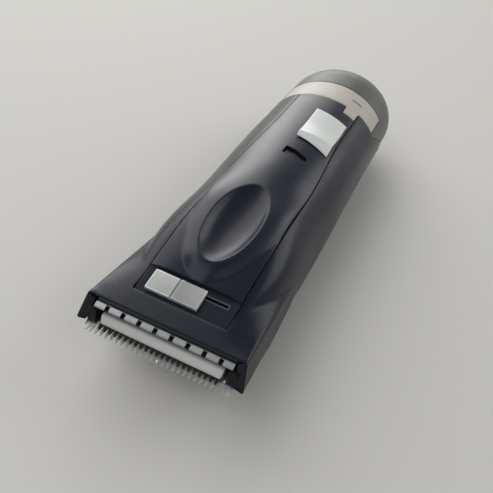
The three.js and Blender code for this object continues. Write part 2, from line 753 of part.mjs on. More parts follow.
// Height of the handle's round top at a point across it, raised by a lift.
const handleSurface = (x, y, lift) => {
  const half = halfWidthAt(y) + lift;
  const widest = widestAt(y);
  return widest + (crestAt(y) + lift - widest) * Math.sqrt(1 - (x / half) ** 2);
};

// Ring across the pad. A slant moves its right end back and its left end forward.
function switchRing(middleY, lift, slant) {
  const steps = 8;
  const upper = [];
  const lower = [];
  for (let k = 0; k <= steps; k += 1) {
    const x = mix(switchRight, switchLeft, k / steps);
    const y = middleY + slant * (x - switchMiddle);
    upper.push(new THREE.Vector3(x, y, handleSurface(x, y, lift)));
    lower.unshift(new THREE.Vector3(x, y, handleSurface(x, y, gap)));
  }
  return [...upper, ...lower];
}

function makeSwitch() {
  const ridge = switchFront + 4.2;
  const profile = [
    [switchFront, gap + 0.35, -0.2], [switchFront + 0.5, gap + 0.75, -0.18],
    [ridge - 0.5, switchRise - 0.05, 0.1], [ridge, switchRise, 0.12], [ridge + 0.8, switchRise - 0.1, 0.12],
    [mix(ridge, switchRear, 0.5), switchRise - 0.45, 0], [switchRear - 0.9, switchRise - 0.15, -0.1],
    [switchRear - 0.3, switchRise - 0.4, -0.1], [switchRear, gap + 0.5, -0.1],
  ];
  const pad = loft(profile.map((station) => switchRing(...station)));
  const [halfX, halfY] = switchStemHalf;
  const stem = block(switchStemX - halfX, switchStemX + halfX, switchStemY - halfY, switchStemY + halfY,
    switchBlockTop + gap, handleSurface(switchStemX + halfX, switchStemY, gap) + 0.3);
  return pad.add(stem);
}

const switchBlockTop = boardBottom + boardThickness + 4.2;

function makeSwitchBlock() {
  const base = boardBottom + boardThickness;
  return joined(
    block(switchStemX - 3.6, switchStemX + 3.6, switchStemY - 9, switchStemY + 5, base, switchBlockTop - 1),
    block(switchStemX - 1.4, switchStemX + 1.4, switchStemY - 2, switchStemY + 2,
      switchBlockTop - 1.1, switchBlockTop),
  );
}

// Status window: a slot in the cover, wide at its left end, with a lens set into it.
const windowY = switchFront - 8.7;
const windowX = 2.75;
function windowOutline(grow) {
  const half = windowWidth / 2 + grow;
  return [
    [windowX - half, windowY - 2.1 - grow], [windowX, windowY - 2.35 - grow],
    [windowX + half - 1, windowY - 1.75 - grow], [windowX + half, windowY - 1],
    [windowX + half - 0.6, windowY + 0.1 + grow], [windowX, windowY + 1.5 + grow],
    [windowX - half, windowY + 2 + grow],
  ];
}

function makeWindow() {
  const lens = plate(windowOutline(-gap), crestAt(windowY) - roofWall - 1.2, far);
  const under = bodyLoft(0.9, 0.9, bodyStations);
  return lens.intersect(under).subtract(bodyLoft(wall + 0.8, roofWall + 0.8, bodyStations));
}

function makeLamp() {
  const base = boardBottom + boardThickness;
  const body = post(1.5, windowX, windowY, base, base + 3.2);
  const flange = post(1.9, windowX, windowY, base, base + 0.8);
  const cup = new THREE.SphereGeometry(1.5, 12, 6);
  cup.translate(windowX, windowY, base + 3.2);
  return joined(body, flange, solidOf(cup));
}

// Charging socket at the bottom of the plug recess in the tail.
const socketFace = bodyLength - plugRecessDepth;
function makeSocket() {
  const body = roundBar(plugRecessRadius - 0.4, 0, 0, socketFace - 9, socketFace, 20);
  const foot = block(-3.5, 3.5, socketFace - 9, socketFace - 3, -plugRecessRadius - 0.6, 0);
  const bore = roundBar(2.75, 0, 0, socketFace - 7, socketFace + 1, 20);
  return cut(joined(body, foot), bore);
}

function makeSocketPin() {
  const stem = roundBar(0.95, 0, 0, socketFace - 6.7, socketFace - 0.8, 14);
  const tip = roundBar(0.95, 0, 0, socketFace - 0.85, socketFace - 0.4, 14, 0.55);
  return joined(stem, tip);
}

// ---------------------------------------------------------------------------------------------
// Housings
// ---------------------------------------------------------------------------------------------

const screwPlaces = [
  [-frontPostX, frontPostY], [frontPostX, frontPostY], [0, middlePostY], [0, rearPostY],
];
const screwSeat = 2.4;           // seat of a screw head above the belly
const postSplit = -0.6;          // height where the housing's posts meet the cover's posts

// Saddle ribs that carry the motor and the cells.
function saddleRibs() {
  const motorBed = roundBar(motorRadius + gap, 0, motorHeight, motorFront - 2, motorRear + 2, 24);
  const cellBeds = [-1, 1].map((side) =>
    roundBar(cellRadius + gap, side * cellSpread, cellHeight, cellFront - 2, cellRear + 2, 24));
  const motorRibs = [motorFront + 3, motorRear - 6].map((y) =>
    block(-far, far, y, y + 1.6, -far, motorHeight - 2.5));
  const cellRibs = [0.12, 0.5, 0.86].map((share) => mix(cellFront, cellRear, share)).map((y) =>
    block(-far, far, y, y + 1.6, -far, cellHeight - 1));
  return cut(joined(...motorRibs, ...cellRibs), motorBed, ...cellBeds);
}

function makeLowerHousing() {
  const posts = screwPlaces.map(([x, y]) => post(postRadius, x, y, -far, postSplit));
  const collars = screwPlaces.map(([x, y]) =>
    post(screwHeadRadius + gap + 1.3, x, y, -far, bellyAt(y) + screwSeat + 1.6));
  const inside = joined(saddleRibs(), ...posts, ...collars).intersect(outerBody);
  const bores = screwPlaces.map(([x, y]) => post(screwRadius + gap, x, y, -far, postSplit + 1));
  const heads = screwPlaces.map(([x, y]) => post(screwHeadRadius + gap, x, y, -far, bellyAt(y) + screwSeat));
  const combSeat = block(-far, far, -far, combRear + gap, -far, -cheekDrop + 0.2);
  return cut(
    joined(shell, inside), coverRegion(gap), bandRegion(gap), capRegion(gap),
    combSeat, ...bores, ...heads,
  );
}

function makeTopCover() {
  const pocket = sidePlate([
    [-far, floorFront - (noseY + far) * Math.tan(floorTilt)], [pocketRear, floorRear],
    [pocketRear + 0.2, far], [-far, far],
  ], -far, far);
  const posts = screwPlaces.map(([x, y]) => post(postRadius - 0.4, x, y, postSplit + gap, far));
  const postBores = screwPlaces.map(([x, y]) => post(screwRadius + 0.1, x, y, postSplit - 1, 3.4));
  const stemSlot = block(sliderLeft + 0.2, sliderLeft + 0.6 + stemWidth + sliderTravel + 0.4,
    stemY - stemThickness / 2 - gap, stemY + stemThickness / 2 + gap, 0, far);
  const [slotX, slotY] = switchStemHalf;
  const switchSlot = block(switchStemX - slotX - gap, switchStemX + slotX + gap,
    switchStemY - slotY - gap - switchTravel, switchStemY + slotY + gap, 0, far);
  const window = plate(windowOutline(0), 0, far);
  const roof = shell.intersect(coverRegion(0));
  const columns = joined(...posts).intersect(cut(outerBody, dishSolid(0)));
  return cut(
    joined(roof, columns), pocket, dishSolid(0), bandRegion(gap), stemSlot, switchSlot, window,
    ...postBores,
  );
}

function makeBand() {
  const slot = block(7.4, 11.4, capFront - 7.2, capFront - 6.2, 5, far);
  return cut(shell.intersect(bandRegion(0)), capRegion(gap), slot);
}

// Loft through the handle's inner wall, [place along the handle, extra inset].
const insetLoft = (steps) => loft(steps.map(([y, inset]) => ellipseRing(
  y, halfWidthAt(capFront) - wall - inset, handleTop - roofWall - inset, wall + inset - handleTop, 2,
  widestAt(capFront))));

// End cap: plugs into the housings with a spigot and carries the charging socket.
function makeEndCap() {
  const bezel = roundBar(plugRecessRadius + 1.5, 0, 0, socketFace - 2, bodyLength - 1, 24);
  const socketBore = roundBar(plugRecessRadius, 0, 0, socketFace - far, bodyLength + far, 24);
  const spigot = cut(
    insetLoft([[capFront - spigotReach, gap], [capFront, gap], [capFront, -0.5], [capFront + 2, -0.5]]),
    insetLoft([[capFront - far, gap + spigotWall], [capFront + far, gap + spigotWall]]),
  );
  return cut(joined(shell.intersect(capRegion(0)), bezel, spigot), socketBore);
}

function makeHousingScrew([x, y]) {
  const seat = bellyAt(y) + screwSeat;
  const head = post(screwHeadRadius, x, y, seat - 1.4, seat - 0.05, 16);
  const shank = post(screwRadius - 0.1, x, y, seat - 0.2, 2.4);
  const cross = joined(block(x - 1.5, x + 1.5, y - 0.3, y + 0.3, seat - 2, seat - 0.8),
    block(x - 0.3, x + 0.3, y - 1.5, y + 1.5, seat - 2, seat - 0.8));
  return cut(joined(head, shank), cross);
}

// ---------------------------------------------------------------------------------------------
// Materials and assembly
// ---------------------------------------------------------------------------------------------

const finish = (color, roughness, metalness = 0) =>
  new THREE.MeshStandardMaterial({ color, roughness, metalness });

const navyPlastic = finish(0x2b2e3b, 0.42);
const coverPlastic = finish(0x30333f, 0.38);
const creamPlastic = finish(0xd9cfc4, 0.45);
const greyPlastic = finish(0x77746f, 0.5);
const whitePlastic = finish(0xd6d8d4, 0.4);
const satinSilver = finish(0xc4c6c4, 0.35, 0.6);
const bladeSteel = finish(0xb9bab8, 0.28, 1);
const darkSteel = finish(0x6c6d70, 0.35, 1);
const brightSteel = finish(0xa9abae, 0.3, 1);
const blackPlastic = finish(0x17181b, 0.5);
const boardGreen = finish(0x1f5a3c, 0.5);
const cellSleeve = finish(0x2f7a4c, 0.4);
const smokedLens = finish(0x14121f, 0.12);
const brassGold = finish(0xb9975a, 0.35, 1);

const clipper = new THREE.Group();
const middleY = (combTip + bodyLength) / 2;
clipper.position.set(0, -middleY, -restZ);

function place(name, solid, material) {
  const mesh = new THREE.Mesh(geometryOf(solid), material);
  mesh.name = name;
  clipper.add(mesh);
}

place('lower_housing', makeLowerHousing(), navyPlastic);
place('top_cover', makeTopCover(), coverPlastic);
place('rear_band', makeBand(), creamPlastic);
place('end_cap', makeEndCap(), greyPlastic);
place('charging_socket', makeSocket(), blackPlastic);
place('socket_pin', makeSocketPin(), brassGold);

place('fixed_comb', makeComb(), bladeSteel);
place('moving_cutter', makeCutter(), darkSteel);
place('cutter_carrier', makeCarrier(), whitePlastic);
place('cutter_frame', makeFrame(), blackPlastic);
place('tension_spring', makeTensionSpring(), brightSteel);
place('comb_screw_left', makeCombScrew(-1), brightSteel);
place('comb_screw_right', makeCombScrew(1), brightSteel);

place('thinning_guard', makeGuard(), satinSilver);
place('thinning_slider', makeSlider(), satinSilver);
place('slider_cam_pin', makeCamPin(), brightSteel);

place('motor', makeMotor(), brightSteel);
place('motor_shaft', makeShaft(), brightSteel);
place('eccentric_crank', makeEccentric(), whitePlastic);
place('battery_cell_left', makeCell(-1), cellSleeve);
place('battery_cell_right', makeCell(1), cellSleeve);
place('cell_contact_strip', makeContactStrip(), brightSteel);
place('battery_tray', makeTray(), blackPlastic);
place('circuit_board', makeBoard(), boardGreen);
place('switch_block', makeSwitchBlock(), blackPlastic);
place('power_switch', makeSwitch(), whitePlastic);
place('status_window', makeWindow(), smokedLens);
place('status_lamp', makeLamp(), whitePlastic);

const screwNames = ['front_left', 'front_right', 'middle', 'rear'];
screwNames.forEach((name, k) =>
  place(`housing_screw_${name}`, makeHousingScrew(screwPlaces[k]), brightSteel));

const group = new THREE.Group();
group.add(clipper);

export default group;
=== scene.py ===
# Cordless hair clipper with a thinning guard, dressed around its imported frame.
import math

import bmesh
import bpy
from mathutils import Matrix, Vector


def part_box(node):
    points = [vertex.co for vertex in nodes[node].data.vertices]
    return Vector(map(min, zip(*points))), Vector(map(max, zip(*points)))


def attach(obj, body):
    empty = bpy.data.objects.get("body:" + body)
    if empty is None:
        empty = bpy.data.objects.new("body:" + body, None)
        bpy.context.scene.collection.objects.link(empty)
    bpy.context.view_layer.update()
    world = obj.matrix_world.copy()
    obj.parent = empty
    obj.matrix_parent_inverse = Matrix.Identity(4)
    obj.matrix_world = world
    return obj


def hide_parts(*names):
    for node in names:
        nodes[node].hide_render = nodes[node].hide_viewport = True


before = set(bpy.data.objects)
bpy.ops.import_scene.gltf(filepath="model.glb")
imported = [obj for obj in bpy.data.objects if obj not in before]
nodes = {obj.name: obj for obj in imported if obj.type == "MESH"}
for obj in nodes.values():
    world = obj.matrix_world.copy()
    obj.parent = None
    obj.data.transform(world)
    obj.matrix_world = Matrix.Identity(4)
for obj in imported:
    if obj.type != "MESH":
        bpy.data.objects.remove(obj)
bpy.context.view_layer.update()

# ---------------------------------------------------------------------------------------------
# Lower housing: the deep shell that is the belly, both flanks and the flared head of the clipper.
# It is moulded in navy ABS with a fine satin skin, and four screws from the belly close it.
# Its form is worked in millimetres from the lip's edge (y = 0) and the handle's axis (z = 0).
# ---------------------------------------------------------------------------------------------

MM = 0.001
BODY_LENGTH = 163.0
AXIS_HEIGHT = 17.3
NOSE_START = 7.2
WAIST = 60.0
HANDLE_HALF_WIDTH, HANDLE_HALF_HEIGHT = 23.1, 17.7
NOSE_HALF_WIDTH = 16
LIP_HEIGHT, MOUTH_DEPTH = 6, 3.6
HEAD_TOP_HALF, HEAD_FOOT_HALF = 24, 25.3
NOSE_SQUARENESS, BELLY_SQUARENESS = 4.2, 2.1
OPENING_FRONT, SEAT_REAR = 6.9, 11.8
REAR_TOP, REAR_FOOT, REAR_BEND = 127.6, 137.8, 7.4
RAY_HEIGHT = -2.3  # the height inside the body from which its skin is sought
PART_LINE = 0.3  # the gap between two mouldings

tail_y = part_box("end_cap")[1].y


def spot(x, y, z):
    """A place on the clipper, in the frame's metres."""
    return Vector((x * MM, tail_y + (y - BODY_LENGTH) * MM, (z + AXIS_HEIGHT) * MM))


def clamp01(t):
    return min(1.0, max(0.0, t))


def mix(start, end, share):
    return start + (end - start) * share


def ease(t):
    t = clamp01(t)
    return t * t * (3 - 2 * t)


def head_top(y):
    return LIP_HEIGHT + 0.078 * y


def nose_share(y):
    """How far the top has climbed from the lip to the full handle, from 0 to 1."""
    t = (y - NOSE_START) / (WAIST - NOSE_START)
    if t <= 0.75:
        return max(0.0, t)
    late = min(t, 1.25) - 0.75
    return 0.75 + late - late * late


def half_width(y):
    grown = math.sin(clamp01((y - NOSE_START) / 40) * math.pi / 2)
    taper = 1.5 * ease((y - WAIST) / (BODY_LENGTH - WAIST))
    return mix(NOSE_HALF_WIDTH, HANDLE_HALF_WIDTH, grown) - taper


def crest(y):
    return mix(head_top(y), HANDLE_HALF_HEIGHT, nose_share(y))


def widest_line(y):
    return -mix(5.2, 0.2, ease((y - 50) / 60)) * ease((y - 15) / 35)


def belly(y):
    return mix(-MOUTH_DEPTH, -HANDLE_HALF_HEIGHT, ease((y - 4) / 46))


def handle_depth(x, y, z):
    """How far a point lies under the skin of the handle and its nose."""
    if y < NOSE_START:
        return -99.0
    middle = widest_line(y)
    square = mix(NOSE_SQUARENESS, 2, nose_share(y))
    if z > middle:
        tall = crest(y) - middle
    else:
        tall = middle - belly(y)
        square = mix(square, BELLY_SQUARENESS, 0.7)
    size = (abs(x) / half_width(y)) ** square + (abs(z - middle) / tall) ** square
    size = max(size, 1e-6) ** (1 / square)
    return math.hypot(x, z - middle) * (1 / size - 1)


def round_corner(a, b, radius):
    if a < radius and b < radius:
        return radius - math.hypot(radius - a, radius - b)
    return min(a, b)


def head_depth(x, y, z):
    """The same for the head: a wedge with leaning sides and softly rounded edges."""
    back = max(0.0, y)
    half = HEAD_TOP_HALF - 0.031 * back
    edge = LIP_HEIGHT - 0.116 * back
    foot = mix(HEAD_FOOT_HALF, 22.8, clamp01(back / 52))
    bottom = mix(max(belly(y), -7.5), -5, ease((y - 25) / 35))
    climb = clamp01((z - bottom - 2) / (edge - 0.8 - bottom - 2))
    across = clamp01((abs(x) - 13) / (half - 13)) ** 1.6 * ease(back / 2)
    top = mix(head_top(back), edge, across) - z
    side = mix(foot, half, climb) - abs(x)
    return round_corner(round_corner(side, top, 0.9), z - bottom, 2) - 0.13 * max(0.0, y - 40)


def body_depth(x, y, z):
    """Handle and head run together with a soft hollow where they meet."""
    a = handle_depth(x, y, z)
    b = head_depth(x, y, z) if y < 56 else -99.0
    soft = 0.7
    share = clamp01(0.5 + 0.5 * (a - b) / soft)
    return mix(b, a, share) + soft * share * (1 - share) * 0.8


def skin(x, y, z, run_x, run_z):
    """Where a line across the clipper, from an inside point, comes out through the skin."""
    near, far = 0.0, 45.0
    for halving in range(22):
        middle = (near + far) / 2
        if body_depth(x + middle * run_x, y, z + middle * run_z) > 0:
            near = middle
        else:
            far = middle
    return x + near * run_x, z + near * run_z


def cover_half(y):
    """Half-width of the top cover, which swells a little beside the thumb dish."""
    return 12 + 2.2 * (1 - ease((y - WAIST - 4) / 44))


def housing_rear(z):
    """Where the housing stops: under the band at the top, along the cap's ears below."""
    if z > REAR_BEND:
        return REAR_TOP
    return mix(REAR_TOP, REAR_FOOT, clamp01((REAR_BEND - z) / 6.1))


def laid_grid(columns, rows, place, dropped=None):
    """A grid pulled onto its form by place(column, row); dropped(column, row) leaves faces out."""
    mesh = bmesh.new()
    bmesh.ops.create_grid(mesh, x_segments=columns, y_segments=rows, size=0.5)
    index = {}
    for vert in mesh.verts:
        index[vert] = (round((vert.co.x + 0.5) * columns), round((vert.co.y + 0.5) * rows))
    if dropped:
        lost = []
        for face in mesh.faces:
            column = min(index[vert][0] for vert in face.verts)
            row = min(index[vert][1] for vert in face.verts)
            if dropped(column, row):
                lost.append(face)
        bmesh.ops.delete(mesh, geom=lost, context="FACES")
    for vert in mesh.verts:
        vert.co = place(*index[vert])
    bmesh.ops.remove_doubles(mesh, verts=mesh.verts[:], dist=0.02 * MM)
    return mesh


def piece_from(mesh, name, material):
    data = bpy.data.meshes.new(name)
    mesh.to_mesh(data)
    mesh.free()
    piece = bpy.data.objects.new(name, data)
    bpy.context.scene.collection.objects.link(piece)
    piece.data.materials.append(material)
    return piece


def thicken(piece, wall, group=None):
    shell = piece.modifiers.new("wall", "SOLIDIFY")
    shell.thickness = wall * MM
    shell.offset = -1
    if group:
        shell.vertex_group = group


def soften(piece, width, segments=2, angle=40):
    edge = piece.modifiers.new("edges", "BEVEL")
    edge.width = width * MM
    edge.segments = segments
    edge.limit_method = "ANGLE"
    edge.angle_limit = math.radians(angle)
    edge.use_clamp_overlap = True
    edge.profile = 0.5


def pierce(piece, cutter):
    hole = piece.modifiers.new("hole", "BOOLEAN")
    hole.operation = "DIFFERENCE"
    hole.solver = "EXACT"
    hole.object = cutter


def settle(piece, cutters=(), sharp=34):
    """Fixes the modifiers in the mesh and shades it smooth up to its real edges."""
    bpy.context.view_layer.update()
    ready = piece.evaluated_get(bpy.context.evaluated_depsgraph_get())
    data = bpy.data.meshes.new_from_object(ready)
    piece.modifiers.clear()
    piece.data = data
    for cutter in cutters:
        bpy.data.objects.remove(cutter)
    mesh = bmesh.new()
    mesh.from_mesh(data)
    for face in mesh.faces:
        face.smooth = True
    for edge in mesh.edges:
        edge.smooth = len(edge.link_faces) != 2 or edge.calc_face_angle(0) < math.radians(sharp)
    mesh.to_mesh(data)
    mesh.free()


def block(name, material, x0, x1, y0, y1, z0, z1):
    mesh = bmesh.new()
    bmesh.ops.create_cube(mesh, size=1)
    low, high = spot(x0, y0, z0), spot(x1, y1, z1)
    for vert in mesh.verts:
        share = vert.co + Vector((0.5, 0.5, 0.5))
        vert.co = Vector([mix(low[k], high[k], share[k]) for k in range(3)])
    return piece_from(mesh, name, material)


def rod(name, material, radius, x, y, z0, z1):
    mesh = bmesh.new()
    bmesh.ops.create_cone(mesh, cap_ends=True, segments=40, radius1=radius * MM,
                          radius2=radius * MM, depth=(z1 - z0) * MM)
    bmesh.ops.translate(mesh, verts=mesh.verts[:], vec=spot(x, y, (z0 + z1) / 2))
    return piece_from(mesh, name, material)


def noise(tree, scale, detail):
    cloud = tree.nodes.new("ShaderNodeTexNoise")
    cloud.inputs["Scale"].default_value = scale
    cloud.inputs["Detail"].default_value = detail
    return cloud


def two_tones(tree, colour, dark, light):
    """A mix of a darker and a lighter shade of one colour."""
    tone = tree.nodes.new("ShaderNodeMix")
    tone.data_type = "RGBA"
    tone.inputs["A"].default_value = (*[c * dark for c in colour], 1)
    tone.inputs["B"].default_value = (*[min(1, c * light) for c in colour], 1)
    return tone


def ramp(tree, start, end, low, high):
    """Turns values from start to end into values from low to high."""
    scaled = tree.nodes.new("ShaderNodeMapRange")
    for socket, value in {"From Min": start, "From Max": end, "To Min": low, "To Max": high}.items():
        scaled.inputs[socket].default_value = value
    return scaled


def relief(tree, strength, depth):
    bump = tree.nodes.new("ShaderNodeBump")
    bump.inputs["Strength"].default_value = strength
    bump.inputs["Distance"].default_value = depth * MM
    return bump


def moulded(name, colour, roughness, grain=0.25, grain_size=0.35, coat=0.0, mottle=0.08,
            specular=0.5):
    """A moulded plastic: spark-eroded grain, faint flow marks in colour and gloss."""
    material = bpy.data.materials.new(name)
    material.use_nodes = True
    tree = material.node_tree
    shader = tree.nodes["Principled BSDF"]
    shader.inputs["Coat Weight"].default_value = coat
    shader.inputs["Coat Roughness"].default_value = 0.15
    shader.inputs["Specular IOR Level"].default_value = specular
    where = tree.nodes.new("ShaderNodeTexCoord")
    flow = noise(tree, 45, 5)
    flow.inputs["Roughness"].default_value = 0.6
    fine = noise(tree, 1 / (grain_size * MM), 3)
    tone = two_tones(tree, colour, 1 - mottle, 1 + mottle)
    gloss = ramp(tree, 0.3, 0.7, roughness - 0.04, roughness + 0.05)
    bump = relief(tree, grain, 0.02)
    link = tree.links.new
    link(where.outputs["Object"], flow.inputs["Vector"])
    link(where.outputs["Object"], fine.inputs["Vector"])
    link(flow.outputs["Fac"], tone.inputs["Factor"])
    link(flow.outputs["Fac"], gloss.inputs["Value"])
    link(fine.outputs["Fac"], bump.inputs["Height"])
    link(tone.outputs["Result"], shader.inputs["Base Color"])
    link(gloss.outputs["Result"], shader.inputs["Roughness"])
    link(bump.outputs["Normal"], shader.inputs["Normal"])
    return material


navy = moulded("navy_abs", (0.0078, 0.0098, 0.0205), 0.27, grain=0.08, coat=0.03, specular=0.24)

SIDE_COLUMNS, BELLY_COLUMNS, TOP_COLUMNS = 40, 84, 30
WRAP = 2 * SIDE_COLUMNS + BELLY_COLUMNS
LAST_RINGS = 12
housing_ys = [0, 0.2, 0.5, 1, 1.8, 2.7, 3.7, 4.8, 5.9, OPENING_FRONT]
opening_row = len(housing_ys) - 1
housing_ys += [mix(OPENING_FRONT, SEAT_REAR, step / 6) for step in range(1, 7)]
seat_row = len(housing_ys) - 1
housing_ys += [mix(SEAT_REAR, 118, step / 130) for step in range(1, 131)]
housing_rows = len(housing_ys) - 1 + LAST_RINGS
parting = []
for y in housing_ys:
    edge_x = cover_half(y) + PART_LINE
    edge_z = skin(edge_x, max(y, 0), RAY_HEIGHT, 0, 1)[1]
    parting.append((edge_x, edge_z, math.atan2(edge_z - RAY_HEIGHT, edge_x)))


def housing_place(column, row):
    """Columns run down the left flank, round the belly, up the right flank and over the top."""
    ring = min(row, len(housing_ys) - 1)
    y = housing_ys[ring]
    edge_x, edge_z, lift = parting[ring]
    if column > WRAP:
        x = mix(edge_x, -edge_x, (column - WRAP) / TOP_COLUMNS)
        z = skin(x, y, RAY_HEIGHT, 0, 1)[1]
    else:
        if column <= SIDE_COLUMNS:
            angle = mix(math.pi - lift, math.pi, column / SIDE_COLUMNS)
        elif column <= WRAP - SIDE_COLUMNS:
            share = (column - SIDE_COLUMNS) / BELLY_COLUMNS
            angle = math.pi * (1 + share) - 0.3 * math.sin(2 * math.pi * share)
        else:
            angle = 2 * math.pi + lift * (column - WRAP + SIDE_COLUMNS) / SIDE_COLUMNS
        x, z = skin(0, y, RAY_HEIGHT, math.cos(angle), math.sin(angle))
    z = max(z, -AXIS_HEIGHT)
    if row > ring:
        y = mix(y, housing_rear(z), (row - ring) / LAST_RINGS)
    lean = 0.4 * (LIP_HEIGHT - z)
    return spot(x, y - lean * (1 - ease(y / OPENING_FRONT)), z)


def housing_open(column, row):
    """The cover's opening in the top, and the comb's seat in the front of the belly."""
    in_belly = SIDE_COLUMNS <= column < WRAP - SIDE_COLUMNS
    return (column >= WRAP and row >= opening_row) or (in_belly and row < seat_row)


housing_mesh = laid_grid(WRAP + TOP_COLUMNS, housing_rows, housing_place, housing_open)
bmesh.ops.reverse_faces(housing_mesh, faces=housing_mesh.faces[:])
housing = piece_from(housing_mesh, "housing_shell", navy)

# The wall is thickest in the cheeks, and a share of that elsewhere.
CHEEK_WALL, HEAD_SHARE, HANDLE_SHARE = 2.6, 0.62, 0.78
walls = housing.vertex_groups.new(name="wall")
for vert in housing.data.vertices:
    ahead = vert.co.y < spot(0, SEAT_REAR + 0.1, 0).y
    is_cheek = ahead and abs(vert.normal.x) > 0.75
    share = 1.0 if is_cheek else HEAD_SHARE if ahead else HANDLE_SHARE
    walls.add([vert.index], share, "REPLACE")
thicken(housing, CHEEK_WALL, "wall")
soften(housing, 0.22)

screw_places = [(-11, 29), (11, 29), (0, 65.7), (0, 123)]
BORE_RADIUS, COLLAR_RADIUS, COLLAR_WALL = 2.9, 4.2, 1.3
COLLAR_STEP, COLLAR_RISE = 0.55, 3.1
screw_bores = []
for k, (x, y) in enumerate(screw_places):
    screw_bores.append(rod(f"screw_bore_{k}", navy, BORE_RADIUS, x, y, -25, belly(y) + 6))
    pierce(housing, screw_bores[-1])
settle(housing, screw_bores)
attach(housing, "body")
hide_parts("lower_housing")

# Collars carry the screw heads; each is a plain tube moulded with the shell. The front pair
# stands a little proud, where the belly curves up to the flanks.
collar_mesh = bmesh.new()
for x, y in screw_places:
    ring = bmesh.ops.create_circle(collar_mesh, segments=40, radius=COLLAR_RADIUS * MM)["verts"]
    bmesh.ops.translate(collar_mesh, verts=ring, vec=spot(x, y, belly(y) + COLLAR_STEP))
    edges = list({edge for vert in ring for edge in vert.link_edges})
    rise = bmesh.ops.extrude_edge_only(collar_mesh, edges=edges)["geom"]
    verts = [item for item in rise if isinstance(item, bmesh.types.BMVert)]
    bmesh.ops.translate(collar_mesh, verts=verts, vec=(0, 0, COLLAR_RISE * MM))
bmesh.ops.recalc_face_normals(collar_mesh, faces=collar_mesh.faces[:])
collars = piece_from(collar_mesh, "screw_collars", navy)
thicken(collars, COLLAR_WALL)
soften(collars, 0.2)
settle(collars)
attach(collars, "body")

# ---------------------------------------------------------------------------------------------
# Top cover: the long moulding let into the housing. It carries the slider's sunk pocket, the
# raised boss with the thumb dish, the lamp's window and the switch. Navy ABS, a little glossier.
# ---------------------------------------------------------------------------------------------

POCKET_REAR = 16.5
DISH_FRONT, DISH_LENGTH, DISH_WIDTH, DISH_DEPTH = 22.5, 35.2, 15.2, 3.1
BOSS_HALF_WIDTH, BOSS_SQUARENESS = 14.9, 2.7
SLIT_LEFT, SLIT_RIGHT, SLIT_FRONT, SLIT_REAR = -11.4, 11.5, 13.35, 14.25
STEM_LEFT, STEM_RIGHT, STEM_FRONT, STEM_REAR = 3.2, 7.6, 101.2, 106.4
SWITCH_TRAVEL, STEM_GAP = 4, 0.3
NOTCH_FRONT, NOTCH_X, COVER_REAR = 121.6, 6.7, 126.6
dish_middle = DISH_FRONT + DISH_LENGTH / 2
dish_rear = DISH_FRONT + DISH_LENGTH
boss_front = DISH_FRONT - 6.2
boss_middle = dish_middle + 9.9
floor_front = head_top(NOSE_START) - 0.7
floor_rear = crest(POCKET_REAR) - 1.25
floor_slope = (floor_rear - floor_front) / (POCKET_REAR - NOSE_START)


def pocket_floor(y):
    """Height of the sunk floor that the thumb slider runs on."""
    return floor_front + (y - NOSE_START) * floor_slope


def line_through(points, y):
    """Smooth line through a few (place, value) points."""
    if y <= points[0][0]:
        return points[0][1]
    if y >= points[-1][0]:
        return points[-1][1]
    slopes = []
    for k in range(len(points)):
        before, after = points[max(0, k - 1)], points[min(len(points) - 1, k + 1)]
        slopes.append((after[1] - before[1]) / (after[0] - before[0]))
    k = next(k for k in range(1, len(points)) if y <= points[k][0])
    (y0, v0), (y1, v1) = points[k - 1], points[k]
    t = (y - y0) / (y1 - y0)
    bend = (y1 - y0) * t * (1 - t) * (slopes[k - 1] * (1 - t) - slopes[k] * t)
    return mix(v0, v1, t * t * (3 - 2 * t)) + bend


def boss_rise(y):
    """How far the boss stands over the crest along the middle of the cover."""
    return line_through([
        (boss_front, -0.6), (boss_front + 1.9, 0.8), (boss_front + 5.8, 2.19),
        (boss_front + 9.5, 2.3), (dish_middle, 1.43), (dish_rear, 0.15), (dish_rear + 9, -0.7)], y)


def soft_high(a, b, soft):
    """The higher of two heights, run together softly where they are close."""
    share = clamp01(0.5 + 0.5 * (a - b) / soft)
    return mix(b, a, share) + soft * share * (1 - share)


rim_front = crest(DISH_FRONT) + boss_rise(DISH_FRONT)
rim_rear = crest(dish_rear) + boss_rise(dish_rear)


def cover_height(x, y):
    """The housing's own curve, with the boss standing on it and the dish pressed into both."""
    z = skin(x, y, RAY_HEIGHT, 0, 1)[1]
    reach = max(0.0, boss_middle - y) / (boss_middle - boss_front + 0.3)
    if reach < 1:
        half = BOSS_HALF_WIDTH * math.sqrt(1 - reach * reach)
        foot = crest(y) - 5
        across = abs(x) / half
        if across < 1:
            fullness = (1 - across ** BOSS_SQUARENESS) ** (1 / BOSS_SQUARENESS)
            boss = foot + (crest(y) + boss_rise(y) - foot) * fullness
            z = mix(soft_high(z, boss, 0.9), z, ease((y - 44) / 24))
    rim = mix(rim_front, rim_rear, (y - DISH_FRONT) / DISH_LENGTH)
    away = math.hypot(x / (DISH_WIDTH / 2), (y - dish_middle) / (DISH_LENGTH / 2))
    if away < 1.25:
        bowl = rim + 0.35 - (DISH_DEPTH + 0.1) * max(0.0, 1 - away * away) ** 0.62
        bowl += max(0.0, away - 1) * 14
        z = -soft_high(-z, -bowl, 1.3)
    return z


cover_ys = [mix(NOSE_START, POCKET_REAR, step / 14) for step in range(15)]
pocket_rear_row = len(cover_ys)
cover_ys += [mix(POCKET_REAR + 0.02, 62, step / 130) for step in range(130)]
cover_ys += [mix(62, NOTCH_FRONT, step / 76) for step in range(77)]
notch_row = len(cover_ys) - 1
cover_ys += [mix(NOTCH_FRONT, COVER_REAR, step / 8) for step in range(1, 9)]
COVER_COLUMNS = 96
notch_column = round((NOTCH_X / 12 + 1) / 2 * COVER_COLUMNS)


